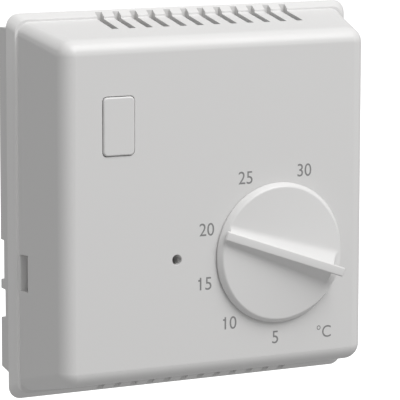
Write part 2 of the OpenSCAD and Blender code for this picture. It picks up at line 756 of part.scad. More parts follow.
module load_bus() color("gold") on_wall() {
  bus(term_mid(2) - 2, term_mid(2) + 2, term_top_y - 7, load_row_y + eps);
  bus(term_mid(2) - 2, load_x + bus_w, load_row_y, load_row_y + row_w);
  bus(load_x, load_x + bus_w, load_row_y, bus_top_y);
  bus(res_x - 2 - lead_r, load_x + bus_w, bus_top_y - bus_w, bus_top_y);
}

module neutral_bus() color("gold") on_wall() {
  bus(term_mid(3) - 2, term_mid(3) + 2, term_top_y - 7, term_top_y + eps);
  bus(term_mid(3) - 2, neutral_x + bus_w, term_top_y, term_top_y + row_w);
  bus(neutral_x, neutral_x + bus_w, term_top_y, bus_top_y);
  bus(neutral_x, res_x + res_len + 1.4, bus_top_y - bus_w, bus_top_y);
}

module feedback_resistor() color("peru") on_wall() translate([res_x, bus_top_y - bus_w / 2, res_z]) {
  cross_rod(res_r, 0, res_len);
  cross_rod(lead_r, -0.8, eps);
  cross_rod(lead_r, res_len - eps, res_len + 0.8);
  for (x = [-0.8, res_len + 0.8]) translate([x, 0, 0]) {
    sphere(lead_r);
    rod(lead_r, floor_t + bus_t - res_z, 0);
  }
}

// Flexible lead from the load bus to the foot of the bimetal strip
module lever_lead() color("chocolate") on_wall() {
  start = [load_x + bus_w / 2, pivot_y + 3.5, floor_t + bus_t];
  bend = start + [0, 0, 6.5];
  end = [strip_x + strip_t / 2 + 2 * strip_gap + tab_t + rivet_head_t + 2 * gap,
         flex_y - rivet_step / 2, bend[2] + 1];
  v = end - bend;
  translate(start) rod(lever_lead_r, 0, bend[2] - start[2]);
  translate(bend) sphere(lever_lead_r + 0.15);
  translate(bend) rotate([0, acos(v[2] / norm(v)), atan2(v[1], v[0])]) rod(lever_lead_r, 0, norm(v));
}

front_cover();
base_plate();
blanking_insert();
cover_screw();
knob();
range_ring_min();
range_ring_max();
spindle();
spindle_clip();
spindle_bridge();
bridge_screws();
adjusting_lever();
lever_pivot_pin();
lever_spring();
bimetal_strip();
bimetal_rivets();
armature_plate();
moving_contact();
fixed_contact();
contact_bracket();
magnet();
magnet_holder();
calibration_screw();
bracket_rivets();
feedback_resistor();
terminal_block();
terminal_clamps();
terminal_screws();
line_bus();
load_bus();
neutral_bus();
lever_lead();
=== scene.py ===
"""Wall thermostat: its looks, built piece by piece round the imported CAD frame.

Pieces are drawn on a bench plane in millimetres: x right, y up, z out from the wall.
stand_up() turns a finished piece into the row frame, in metres.
"""
import json
import logging
import math
from dataclasses import dataclass
from enum import Enum
from typing import Callable, Sequence

import bmesh
import bpy
from mathutils import Matrix, Vector


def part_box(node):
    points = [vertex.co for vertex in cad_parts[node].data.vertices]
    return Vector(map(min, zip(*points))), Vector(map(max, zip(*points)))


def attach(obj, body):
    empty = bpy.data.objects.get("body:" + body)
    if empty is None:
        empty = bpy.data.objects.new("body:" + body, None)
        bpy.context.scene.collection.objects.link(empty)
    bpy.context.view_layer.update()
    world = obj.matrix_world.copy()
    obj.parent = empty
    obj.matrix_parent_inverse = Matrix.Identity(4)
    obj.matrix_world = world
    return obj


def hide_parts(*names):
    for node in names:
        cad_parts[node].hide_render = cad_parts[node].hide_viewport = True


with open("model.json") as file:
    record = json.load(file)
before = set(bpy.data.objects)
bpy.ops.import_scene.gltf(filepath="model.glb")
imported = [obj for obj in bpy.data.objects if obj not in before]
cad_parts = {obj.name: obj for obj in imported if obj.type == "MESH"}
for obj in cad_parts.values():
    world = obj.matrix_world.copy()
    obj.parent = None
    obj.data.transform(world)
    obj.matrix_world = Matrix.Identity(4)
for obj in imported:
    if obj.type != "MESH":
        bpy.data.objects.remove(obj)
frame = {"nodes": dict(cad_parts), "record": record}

log = logging.getLogger("thermostat")
MM = 0.001
BENCH_TO_ROW = Matrix.Rotation(math.radians(90), 4, "X") @ Matrix.Scale(MM, 4)
Colour = tuple[float, float, float]


class Body(str, Enum):
    """CAD bodies that new pieces ride on."""

    CASE = "case"
    DIAL = "dial"


# ------------------------------------------------------------------ measuring


@dataclass(frozen=True)
class BenchBox:
    """A CAD node's box on the bench plane, in millimetres."""

    low: Vector
    high: Vector

    @classmethod
    def of(cls, node: str) -> "BenchBox":
        """Reads the box of a CAD node.

        Args:
            node: name of the CAD node.

        Returns:
            The node's box, turned onto the bench plane.
        """
        low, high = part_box(node)
        return cls(Vector((low.x, low.z, -high.y)) / MM, Vector((high.x, high.z, -low.y)) / MM)

    @property
    def middle(self) -> Vector:
        """Middle of the box."""
        return (self.low + self.high) / 2

    @property
    def size(self) -> Vector:
        """Width, height and depth of the box."""
        return self.high - self.low


# ------------------------------------------------------------------ mesh tools


def mesh_object(name: str, bm: bmesh.types.BMesh) -> bpy.types.Object:
    """Turns a bmesh into a linked object and frees it.

    Args:
        name: name of the object and its mesh.
        bm: the shape, freed afterwards.

    Returns:
        The new object, at the origin.
    """
    mesh = bpy.data.meshes.new(name)
    bm.to_mesh(mesh)
    bm.free()
    made = bpy.data.objects.new(name, mesh)
    bpy.context.scene.collection.objects.link(made)
    return made


def baked(obj: bpy.types.Object) -> bpy.types.Object:
    """Applies every modifier of an object to its mesh.

    Args:
        obj: the object to finish.

    Returns:
        The same object, without modifiers.
    """
    bpy.context.view_layer.update()
    seen = obj.evaluated_get(bpy.context.evaluated_depsgraph_get())
    mesh = bpy.data.meshes.new_from_object(seen)
    old = obj.data
    obj.modifiers.clear()
    obj.data = mesh
    bpy.data.meshes.remove(old)
    mesh.name = obj.name
    return obj


def carve(obj: bpy.types.Object, tool: bpy.types.Object, operation: str = "DIFFERENCE") -> None:
    """Cuts a shape with a tool shape, or joins the two, and removes the tool.

    Args:
        obj: the object that is changed.
        tool: the other shape.
        operation: DIFFERENCE, UNION or INTERSECT.
    """
    cut = obj.modifiers.new("carve", "BOOLEAN")
    cut.operation = operation
    cut.solver = "EXACT"
    cut.object = tool
    baked(obj)
    mesh = tool.data
    bpy.data.objects.remove(tool)
    bpy.data.meshes.remove(mesh)


def tidied(obj: bpy.types.Object, flat_deg: float = 0.6) -> None:
    """Merges doubles and dissolves the needless edges of flat faces.

    Args:
        obj: the object that is changed.
        flat_deg: edges that bend less than this are dissolved.
    """
    bm = bmesh.new()
    bm.from_mesh(obj.data)
    bmesh.ops.remove_doubles(bm, verts=bm.verts, dist=2e-4)
    bmesh.ops.dissolve_degenerate(bm, dist=2e-4, edges=bm.edges)
    bmesh.ops.dissolve_limit(
        bm, angle_limit=math.radians(flat_deg), use_dissolve_boundaries=False, verts=bm.verts, edges=bm.edges)
    bm.to_mesh(obj.data)
    bm.free()


def softened(obj: bpy.types.Object, width: float, angle_deg: float = 30, segments: int = 2) -> None:
    """Rounds the edges of an object and evens out its shading.

    Args:
        obj: the object that is changed.
        width: width of the rounding, in the object's units.
        angle_deg: edges sharper than this are rounded.
        segments: number of steps across the rounding.
    """
    bevel = obj.modifiers.new("soften", "BEVEL")
    bevel.width = width
    bevel.segments = segments
    bevel.limit_method = "ANGLE"
    bevel.angle_limit = math.radians(angle_deg)
    bevel.use_clamp_overlap = False
    bevel.miter_outer = "MITER_ARC"
    baked(obj)
    shaded(obj)


def shaded(obj: bpy.types.Object, sharp_deg: float = 38) -> None:
    """Shades an object smooth, with crisp corners and flat faces kept flat.

    Args:
        obj: the object that is changed.
        sharp_deg: edges sharper than this stay crisp.
    """
    obj.data.shade_smooth()
    obj.data.set_sharp_from_angle(angle=math.radians(sharp_deg))
    weigh = obj.modifiers.new("weigh", "WEIGHTED_NORMAL")
    weigh.keep_sharp = True
    weigh.weight = 60
    baked(obj)


def stand_up(obj: bpy.types.Object) -> None:
    """Turns a bench piece in millimetres into the row frame, in metres."""
    obj.data.transform(BENCH_TO_ROW)
    obj.data.update()


def settle(
    obj: bpy.types.Object, body: Body, finish: bpy.types.Material,
    replaces: Sequence[str] = ()
) -> bpy.types.Object:
    """Dresses a finished piece and ties it to its body.

    Args:
        obj: the piece, already in the row frame.
        body: the CAD body that it rides on.
        finish: its material.
        replaces: CAD nodes that it stands for.

    Returns:
        The same piece.
    """
    obj.data.materials.clear()
    obj.data.materials.append(finish)
    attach(obj, body.value)
    if replaces:
        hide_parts(*replaces)
    log.info("%s: %d faces, rides on %s", obj.name, len(obj.data.polygons), body.value)
    return obj


@dataclass(frozen=True)
class Station:
    """One rounded outline of a lofted shell.

    Attributes:
        half_w: half its width.
        half_h: half its height.
        corner: radius of its corners.
        z: height above the wall.
    """

    half_w: float
    half_h: float
    corner: float
    z: float


class Loft:
    """A closed shell through rounded outlines, from the first station to the last."""

    def __init__(self, corner_steps: int = 10, centre: Vector = Vector((0, 0, 0))) -> None:
        """Starts from a square face whose corners are bevelled round.

        Args:
            corner_steps: number of steps round each corner.
            centre: middle of every outline.
        """
        self.centre = centre
        self.bm = bmesh.new()
        square = [self.bm.verts.new((x, y, 0)) for x, y in ((-1, -1), (1, -1), (1, 1), (-1, 1))]
        self.bm.faces.new(square)
        bmesh.ops.bevel(
            self.bm, geom=square, offset=0.5, offset_type="OFFSET", segments=corner_steps, profile=0.5,
            affect="VERTICES", material=-1)
        self.ring = {
            v: (math.copysign(1, v.co.x), math.copysign(1, v.co.y), self._angle(v.co)) for v in self.bm.verts}

    @staticmethod
    def _angle(co: Vector) -> float:
        """Angle of a point of the first outline round its own corner."""
        return math.atan2(co.y - math.copysign(0.5, co.y), co.x - math.copysign(0.5, co.x))

    def _place(self, station: Station) -> None:
        """Moves the newest ring onto a station."""
        for vert, (sx, sy, angle) in self.ring.items():
            vert.co = self.centre + Vector((
                sx * (station.half_w - station.corner) + station.corner * math.cos(angle),
                sy * (station.half_h - station.corner) + station.corner * math.sin(angle),
                station.z))

    def through(self, stations: Sequence[Station]) -> bmesh.types.BMesh:
        """Extrudes the outline through the stations and closes the end.

        Args:
            stations: the outlines in order.

        Returns:
            The closed shell.
        """
        edges = list(self.bm.edges)
        self._place(stations[0])
        for station in stations[1:]:
            made = bmesh.ops.extrude_edge_only(self.bm, edges=edges)["geom"]
            fresh = {v for v in made if isinstance(v, bmesh.types.BMVert)}
            self.ring = {
                v: next(self.ring[e.other_vert(v)] for e in v.link_edges if e.other_vert(v) in self.ring)
                for v in fresh}
            edges = [e for e in made if isinstance(e, bmesh.types.BMEdge) and set(e.verts) <= fresh]
            self._place(station)
        bmesh.ops.holes_fill(self.bm, edges=edges, sides=0)
        bmesh.ops.remove_doubles(self.bm, verts=self.bm.verts, dist=1e-4)
        bmesh.ops.recalc_face_normals(self.bm, faces=self.bm.faces)
        return self.bm


def turned(profile: Sequence[tuple[float, float]], centre: Vector, steps: int = 96) -> bmesh.types.BMesh:
    """Spins a profile of (radius, height) points round an upright axis.

    Args:
        profile: the points, starting and ending on the axis.
        centre: where the axis stands.
        steps: number of steps round.

    Returns:
        The closed shape.
    """
    bm = bmesh.new()
    verts = [bm.verts.new((centre.x + r, centre.y, z)) for r, z in profile]
    edges = [bm.edges.new(pair) for pair in zip(verts, verts[1:])]
    bmesh.ops.spin(
        bm, geom=verts + edges, cent=(centre.x, centre.y, 0), axis=(0, 0, 1), angle=2 * math.pi, steps=steps,
        use_merge=True, use_duplicate=False)
    bmesh.ops.remove_doubles(bm, verts=bm.verts, dist=1e-4)
    bmesh.ops.recalc_face_normals(bm, faces=bm.faces)
    return bm


def boxes(corners: Sequence[tuple[Vector, Vector]], rounding: float = 0.0) -> bmesh.types.BMesh:
    """Makes several boxes in one bmesh.

    Args:
        corners: the lowest and highest corner of each box.
        rounding: bevel of their edges that run along z, or 0 for none.

    Returns:
        The boxes.
    """
    bm = bmesh.new()
    for low, high in corners:
        made = bmesh.ops.create_cube(bm, size=1)["verts"]
        size = high - low
        bmesh.ops.scale(bm, vec=size, verts=made)
        bmesh.ops.translate(bm, vec=(low + high) / 2, verts=made)
    if rounding:
        upright = [e for e in bm.edges if abs(e.verts[0].co.z - e.verts[1].co.z) > 1e-6]
        bmesh.ops.bevel(
            bm, geom=upright, offset=rounding, offset_type="OFFSET", segments=4, profile=0.5, affect="EDGES",
            material=-1)
    return bm


# ------------------------------------------------------------------ finishes


class Socket(Enum):
    """Kinds of socket on a shared effect."""

    FLOAT = "NodeSocketFloat"
    VECTOR = "NodeSocketVector"
    COLOUR = "NodeSocketColor"


class Effect:
    """A shader node group with named inputs and outputs, built once and used by many finishes."""

    def __init__(
        self, name: str, inputs: Sequence[tuple[str, Socket]], outputs: Sequence[tuple[str, Socket]]
    ) -> None:
        """Makes the empty group.

        Args:
            name: name of the group.
            inputs: name and kind of each input.
            outputs: name and kind of each output.
        """
        self.tree = bpy.data.node_groups.new(name, "ShaderNodeTree")
        for label, kind in inputs:
            self.tree.interface.new_socket(name=label, in_out="INPUT", socket_type=kind.value)
        for label, kind in outputs:
            self.tree.interface.new_socket(name=label, in_out="OUTPUT", socket_type=kind.value)
        self.given = self.tree.nodes.new("NodeGroupInput")
        self.result = self.tree.nodes.new("NodeGroupOutput")

    def node(self, kind: str, links: dict[str, object] | None = None, **settings: object) -> bpy.types.Node:
        """Adds a node to the group; see wired()."""
        return wired(self.tree, kind, links, **settings)


def wired(
    tree: bpy.types.NodeTree, kind: str, links: dict[str, object] | None = None, **settings: object
) -> bpy.types.Node:
    """Adds a node, sets its options and links or sets its inputs.

    Args:
        tree: the tree that gets the node.
        kind: the node's type name.
        links: for each input name, or index, an output socket to link or a value to set.
        **settings: options set on the node itself.

    Returns:
        The new node.
    """
    made = tree.nodes.new(kind)
    for key, value in settings.items():
        setattr(made, key, value)
    for label, value in (links or {}).items():
        socket = made.inputs[int(label)] if label.isdigit() else made.inputs[label]
        if isinstance(value, bpy.types.NodeSocket):
            tree.links.new(value, socket)
        else:
            socket.default_value = value
    return made


def moulded_grain() -> Effect:
    """Fine pebbled skin of a moulded part, and the slow drift of its gloss."""
    effect = Effect(
        "moulded_grain",
        [("Coordinates", Socket.VECTOR), ("Grain Scale", Socket.FLOAT), ("Drift Scale", Socket.FLOAT)],
        [("Height", Socket.FLOAT), ("Drift", Socket.FLOAT)])
    where, grain, drift = (effect.given.outputs[i] for i in range(3))
    fine = effect.node(
        "ShaderNodeTexNoise", {"Vector": where, "Scale": grain, "Detail": 3.0, "Roughness": 0.6})
    pebble = effect.node("ShaderNodeTexVoronoi", {"Vector": where, "Scale": grain}, feature="SMOOTH_F1")
    slow = effect.node("ShaderNodeTexNoise", {"Vector": where, "Scale": drift, "Detail": 2.0})
    both = effect.node(
        "ShaderNodeMath", {"0": fine.outputs["Fac"], "1": pebble.outputs["Distance"]}, operation="ADD")
    half = effect.node("ShaderNodeMath", {"0": both.outputs[0], "1": 0.5}, operation="MULTIPLY")
    effect.tree.links.new(half.outputs[0], effect.result.inputs["Height"])
    effect.tree.links.new(slow.outputs["Fac"], effect.result.inputs["Drift"])
    return effect


def drawn_metal() -> Effect:
    """Fine lines of drawn or stamped metal along one way, with scattered spots."""
    effect = Effect(
        "drawn_metal",
        [("Coordinates", Socket.VECTOR), ("Line Scale", Socket.FLOAT), ("Spot Scale", Socket.FLOAT)],
        [("Height", Socket.FLOAT), ("Drift", Socket.FLOAT)])
    where, lines, spots = (effect.given.outputs[i] for i in range(3))
    drawn = effect.node("ShaderNodeMapping", {"Vector": where, "Scale": (1.0, 1.0, 0.04)})
    streak = effect.node(
        "ShaderNodeTexNoise", {"Vector": drawn.outputs[0], "Scale": lines, "Detail": 4.0, "Roughness": 0.65})
    spot = effect.node("ShaderNodeTexNoise", {"Vector": where, "Scale": spots, "Detail": 3.0})
    effect.tree.links.new(streak.outputs["Fac"], effect.result.inputs["Height"])
    effect.tree.links.new(spot.outputs["Fac"], effect.result.inputs["Drift"])
    return effect


def tinted_drift() -> Effect:
    """A colour that leans a little towards a second one where a mask is high."""
    effect = Effect(
        "tinted_drift",
        [("Colour", Socket.COLOUR), ("Lean Colour", Socket.COLOUR), ("Mask", Socket.FLOAT),
         ("Amount", Socket.FLOAT)],
        [("Colour", Socket.COLOUR)])
    base, lean, mask, amount = (effect.given.outputs[i] for i in range(4))
    share = effect.node("ShaderNodeMath", {"0": mask, "1": amount}, operation="MULTIPLY", use_clamp=True)
    mix = effect.node("ShaderNodeMix", data_type="RGBA")
    for value, socket in ((share.outputs[0], 0), (base, 6), (lean, 7)):
        effect.tree.links.new(value, mix.inputs[socket])
    effect.tree.links.new(mix.outputs[2], effect.result.inputs["Colour"])
    return effect


EFFECTS: dict[str, Effect] = {}


def shared(build: Callable[[], Effect]) -> bpy.types.NodeTree:
    """The node group of a shared effect, built the first time it is asked for."""
    if build.__name__ not in EFFECTS:
        EFFECTS[build.__name__] = build()
    return EFFECTS[build.__name__].tree


@dataclass(frozen=True)
class Finish:
    """A surface finish.

    Attributes:
        name: name of the material.
        colour: its main colour, linear.
        lean: the colour that it leans towards in patches.
        roughness: its middle roughness.
        spread: how far the roughness drifts either way.
        depth: height of its grain in metres.
        grain: grain scale, per metre.
        drift: scale of the slow drift, per metre.
        lean_share: how far it leans.
        metallic: 1 for metal.
        ior: index of refraction.
        coat: weight of a clear coat.
        texture: the shared effect that gives its grain.
    """

    name: str
    colour: Colour
    lean: Colour
    roughness: float
    spread: float = 0.05
    depth: float = 8e-6
    grain: float = 3200.0
    drift: float = 55.0
    lean_share: float = 0.25
    metallic: float = 0.0
    ior: float = 1.47
    coat: float = 0.0
    texture: Callable[[], Effect] = moulded_grain

    def build(self) -> bpy.types.Material:
        """Builds the material.

        Returns:
            The material, with its nodes.
        """
        made = bpy.data.materials.new(self.name)
        made.use_nodes = True
        tree = made.node_tree
        tree.nodes.clear()
        out = tree.nodes.new("ShaderNodeOutputMaterial")
        where = wired(tree, "ShaderNodeTexCoord").outputs["Object"]
        skin = wired(tree, "ShaderNodeGroup", node_tree=shared(self.texture))
        tree.links.new(where, skin.inputs[0])
        skin.inputs[1].default_value = self.grain
        skin.inputs[2].default_value = self.drift
        tint = wired(tree, "ShaderNodeGroup", node_tree=shared(tinted_drift))
        tint.inputs[0].default_value = (*self.colour, 1)
        tint.inputs[1].default_value = (*self.lean, 1)
        tree.links.new(skin.outputs["Drift"], tint.inputs[2])
        tint.inputs[3].default_value = self.lean_share
        gloss = wired(tree, "ShaderNodeMapRange", {
            "Value": skin.outputs["Drift"], "From Min": 0.3, "From Max": 0.7,
            "To Min": self.roughness - self.spread, "To Max": self.roughness + self.spread})
        bump = wired(tree, "ShaderNodeBump", {
            "Height": skin.outputs["Height"], "Strength": 0.6, "Distance": self.depth})
        shader = wired(tree, "ShaderNodeBsdfPrincipled", {
            "Base Color": tint.outputs[0], "Roughness": gloss.outputs[0], "Normal": bump.outputs[0],
            "Metallic": self.metallic, "IOR": self.ior, "Coat Weight": self.coat})
        tree.links.new(shader.outputs[0], out.inputs["Surface"])
        return made


def finishes() -> dict[str, Finish]:
    """The finish of each of the record's material slots, and of the dial print."""
    white, shade = (0.80, 0.795, 0.79), (0.77, 0.762, 0.75)
    metal = {"metallic": 1.0, "texture": drawn_metal, "grain": 5200.0, "drift": 420.0, "depth": 4e-6}
    return {
        "case_plastic": Finish("white_case", white, shade, 0.36),
        "knob_plastic": Finish("white_knob", (0.82, 0.815, 0.81), shade, 0.33, depth=5e-6),
        "cold_ring": Finish("blue_ring", (0.05, 0.14, 0.42), (0.04, 0.10, 0.33), 0.42),
        "warm_ring": Finish("red_ring", (0.50, 0.05, 0.04), (0.38, 0.03, 0.03), 0.42),
        "mechanism_plastic": Finish("ivory_mechanism", (0.70, 0.66, 0.55), (0.62, 0.57, 0.45), 0.4),
        "plated_steel": Finish("plated_steel", (0.62, 0.62, 0.60), (0.50, 0.49, 0.46), 0.30, **metal),
        "spring_steel": Finish("spring_steel", (0.42, 0.42, 0.43), (0.30, 0.30, 0.32), 0.28, **metal),
        "contact_silver": Finish("contact_silver", (0.86, 0.85, 0.82), (0.66, 0.64, 0.60), 0.22, **metal),
        "brass": Finish("brass", (0.78, 0.58, 0.26), (0.58, 0.40, 0.16), 0.30, **metal),
        "ferrite": Finish("ferrite", (0.035, 0.035, 0.038), (0.06, 0.06, 0.062), 0.62, depth=2e-5),
        "bimetal": Finish("bimetal", (0.52, 0.45, 0.36), (0.40, 0.33, 0.26), 0.36, **metal),
        "resistor_body": Finish("lacquered_resistor", (0.50, 0.33, 0.18), (0.42, 0.26, 0.13), 0.30, coat=0.4),
        "terminal_plastic": Finish("terminal_plastic", (0.74, 0.74, 0.72), (0.66, 0.66, 0.63), 0.45),
        "copper_lead": Finish("brown_sleeve", (0.20, 0.075, 0.03), (0.15, 0.05, 0.02), 0.5),
        "dial_print": Finish("dial_print", (0.27, 0.27, 0.27), (0.31, 0.31, 0.31), 0.5, depth=2e-6),
    }


class Wardrobe:
    """Builds each finish once and dresses the CAD nodes that stay."""

    def __init__(self) -> None:
        """Prepares the finishes."""
        self.finishes = finishes()
        self.built: dict[str, bpy.types.Material] = {}

    def get(self, slot: str) -> bpy.types.Material:
        """The material of a slot, built when it is first asked for."""
        if slot not in self.built:
            self.built[slot] = self.finishes[slot].build()
        return self.built[slot]

    def dress_nodes(self) -> None:
        """Gives every CAD node the finish of its own slot."""
        for part in frame["record"]["subparts"]:
            mesh = frame["nodes"][part["node"]].data
            mesh.materials.clear()
            mesh.materials.append(self.get(part["material_slot"]))
            log.info("%s: finish %s", part["node"], part["material_slot"])


# ------------------------------------------------------------------ case


@dataclass
class Case:
    """The moulded case: front cover, blanking insert and base plate. Sizes in millimetres."""

    wardrobe: Wardrobe
    face_z: float
    knob: Vector
    rim_z: float = 4.5
    rim_t: float = 1.65
    rim_flare: float = 1.2
    ledge: float = 0.5
    wall: float = 2.0
    draft: float = 3.0
    front_r: float = 3.2
    corner_r: float = 2.6
    cavity_in: float = 2.9
    vent_count: int = 12
    vent_pitch: float = 3.7
    vent_w: float = 1.35
    vent_run: float = 6.4
    vent_x: float = 2.2
    vent_lip: float = 0.5
    recess_d: float = 2.0
    soft: float = 0.13
    recess_in: float = 2.0
    screw_drop: float = 8.6
    screw_boss_r: float = 3.6
    screw_head_r: float = 2.7
    screw_hole_r: float = 1.6
    spindle_hole_r: float = 3.8
    lamp_left: float = 22.4
    lamp_up: float = 0.2
    lamp_r: float = 1.0
    lamp_collar_r: float = 2.2
    latch_drop: float = 2.3
    latch_half: float = 3.55
    latch_up: float = 0.3
    latch_h: float = 2.4
    insert_flange: float = 0.8
    insert_clear: float = 0.12
    insert_r: float = 0.9
    insert_edge: float = 0.34
    base_soft: float = 0.18

    def __post_init__(self) -> None:
        """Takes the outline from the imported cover."""
        box = BenchBox.of("front_cover")
        self.half_w, self.half_h = box.size.x / 2, box.size.y / 2
        self.rim_z = box.low.z
        self.ledge_z = self.rim_z + self.rim_t
        self.slope = math.atan(self.draft / (self.face_z - self.ledge_z))

    def _side(self, half: float, z: float, wall: float = 0.0) -> float:
        """Distance of a sloped side from the middle at height z, set in by wall."""
        lean = (z - self.ledge_z) * math.tan(self.slope)
        return half - self.rim_flare - self.ledge - lean - wall / math.cos(self.slope)

    def _front_edge(self, wall: float, radius: float, steps: int) -> list[Station]:
        """Outlines round the front edge, from the slope to the flat face.

        Args:
            wall: how far the surface is set in.
            radius: radius of the edge.
            steps: number of outlines.

        Returns:
            The stations, from the side to the front.
        """
        mid = self.face_z - wall - radius
        set_in = radius / math.cos(self.slope)
        stations = []
        for i in range(steps + 1):
            turn = self.slope + (math.pi / 2 - self.slope) * i / steps
            reach = max(radius * math.cos(turn), 0.02)
            stations.append(Station(
                self._side(self.half_w, mid, wall) - set_in + reach,
                self._side(self.half_h, mid, wall) - set_in + reach, reach, mid + radius * math.sin(turn)))
        return stations

    def _shell(self) -> bpy.types.Object:
        """The cover's shell, from its inner face round the rim to its outer face."""
        top = self.ledge_z - 0.4
        foot = self.corner_r - self.wall
        inner = list(reversed(self._front_edge(self.wall, self.front_r - self.wall + 0.4, 5)))
        cavity_w, cavity_h = self.half_w - self.cavity_in, self.half_h - self.cavity_in
        outer = [
            Station(self.half_w, self.half_h, self.corner_r, self.rim_z),
            Station(self.half_w - self.rim_flare, self.half_h - self.rim_flare, self.corner_r, self.ledge_z),
            Station(
                self._side(self.half_w, self.ledge_z), self._side(self.half_h, self.ledge_z), self.corner_r,
                self.ledge_z)]
        stations = inner + [
            Station(
                self._side(self.half_w, top, self.wall), self._side(self.half_h, top, self.wall), foot, top),
            Station(cavity_w, cavity_h, 1.0, top),
            Station(cavity_w, cavity_h, 1.0, self.rim_z)] + outer + self._front_edge(0, self.front_r, 12)
        return mesh_object("cover_shell", Loft().through(stations))

    def _vents(self) -> bmesh.types.BMesh:
        """Tools that cut the vent slots, top and bottom."""
        corners = []
        inner = self._side(self.half_h, self.ledge_z + self.vent_run, self.wall) - 1
        for i in range(self.vent_count):
            x = self.vent_x + (i - (self.vent_count - 1) / 2) * self.vent_pitch
            for low, high in ((inner, self.half_h + 1), (-self.half_h - 1, -inner)):
                corners.append((
                    Vector((x - self.vent_w / 2, low, self.rim_z + self.vent_lip)),
                    Vector((x + self.vent_w / 2, high, self.ledge_z + self.vent_run))))
        return boxes(corners)

    def _cup(
        self, x: float, y: float, r: float, low: float, high: float, steps: int = 96
    ) -> bmesh.types.BMesh:
        """A plain turned tool between two heights."""
        return turned([(0, low), (r, low), (r, high), (0, high)], Vector((x, y, 0)), steps)

    def cover(self) -> bpy.types.Object:
        """The front cover: sloped shell, rim band, ledge, vents, windows, recess and lamp hole.

        Returns:
            The finished piece.
        """
        shell = self._shell()
        recess_z, face_z = self.face_z - self.recess_d, self.face_z
        kx, ky = self.knob.x, self.knob.y
        recess_r = BenchBox.of("knob").size.x / 2 - self.recess_in
        lamp = Vector((kx - self.lamp_left, ky + self.lamp_up, 0))
        for tool in (
                self._cup(kx, ky, recess_r + self.wall, recess_z - self.wall, face_z - self.wall + 0.01),
                self._cup(kx, ky - self.screw_drop, self.screw_boss_r, recess_z - 5, recess_z - 0.5),
                self._cup(
                    lamp.x, lamp.y, self.lamp_collar_r, face_z - self.wall - 1.5,
                    face_z - self.wall + 0.01, 64)):
            carve(shell, mesh_object("tool", tool), "UNION")
        latch_y, latch_z = ky - self.latch_drop, self.ledge_z + self.latch_up
        latch_in = self._side(self.half_w, latch_z + self.latch_h, self.wall) - 1
        latch = [
            (Vector((min(s * latch_in, s * self.half_w), latch_y - self.latch_half, latch_z)),
             Vector((
                 max(s * latch_in, s * self.half_w), latch_y + self.latch_half, latch_z + self.latch_h)))
            for s in (-1, 1)]
        insert = BenchBox.of("blanking_insert")
        window_w = insert.size.x / 2 - self.insert_flange + self.insert_clear
        window_h = insert.size.y / 2 - self.insert_flange + self.insert_clear
        window = Loft(6, Vector((insert.middle.x, insert.middle.y, 0))).through([
            Station(window_w, window_h, self.insert_r, face_z - self.wall - 1),
            Station(window_w, window_h, self.insert_r, face_z + 1)])
        for tool in (
                self._vents(), boxes(latch), window,
                self._cup(kx, ky, recess_r, recess_z, face_z + 1, 128),
                self._cup(kx, ky, self.spindle_hole_r, recess_z - 3, face_z),
                self._cup(kx, ky - self.screw_drop, self.screw_head_r, recess_z - 2, face_z, 48),
                self._cup(kx, ky - self.screw_drop, self.screw_hole_r, recess_z - 6, face_z, 48),
                self._cup(lamp.x, lamp.y, self.lamp_r, face_z - 6, face_z + 1, 64)):
            carve(shell, mesh_object("tool", tool))
        tidied(shell)
        softened(shell, self.soft)
        stand_up(shell)
        return settle(
            shell, Body.CASE, self.wardrobe.get("case_plastic"), ["front_cover"])

    def insert(self) -> bpy.types.Object:
        """The plain insert that fills the window of the cover.

        Returns:
            The finished piece.
        """
        box = BenchBox.of("blanking_insert")
        flange_w, flange_h = box.size.x / 2, box.size.y / 2
        w, h, top = flange_w - self.insert_flange, flange_h - self.insert_flange, box.high.z
        seat = self.face_z - self.wall - 0.02
        stations = [Station(flange_w, flange_h, 1.2, box.low.z), Station(flange_w, flange_h, 1.2, seat),
                    Station(w, h, self.insert_r, seat)]
        edge = self.insert_edge
        for i in range(6):
            turn = math.pi / 2 * i / 5
            drop = edge * (1 - math.cos(turn))
            stations.append(Station(
                w - drop, h - drop, self.insert_r - drop, top - edge + edge * math.sin(turn)))
        piece = mesh_object(
            "window_insert", Loft(8, Vector((box.middle.x, box.middle.y, 0))).through(stations))
        shaded(piece)
        stand_up(piece)
        return settle(
            piece, Body.CASE, self.wardrobe.get("case_plastic"), ["blanking_insert"])

    def base(self) -> bpy.types.Object:
        """The base plate, as the CAD has it but with its edges rounded.

        Returns:
            The finished piece.
        """
        bm = bmesh.new()
        bm.from_mesh(frame["nodes"]["base_plate"].data)
        bmesh.ops.scale(bm, vec=(1 / MM,) * 3, verts=bm.verts)
        bmesh.ops.remove_doubles(bm, verts=bm.verts, dist=1e-3)
        piece = mesh_object("base_shell", bm)
        tidied(piece)
        softened(piece, self.base_soft)
        piece.data.transform(Matrix.Scale(MM, 4))
        return settle(piece, Body.CASE, self.wardrobe.get("case_plastic"), ["base_plate"])


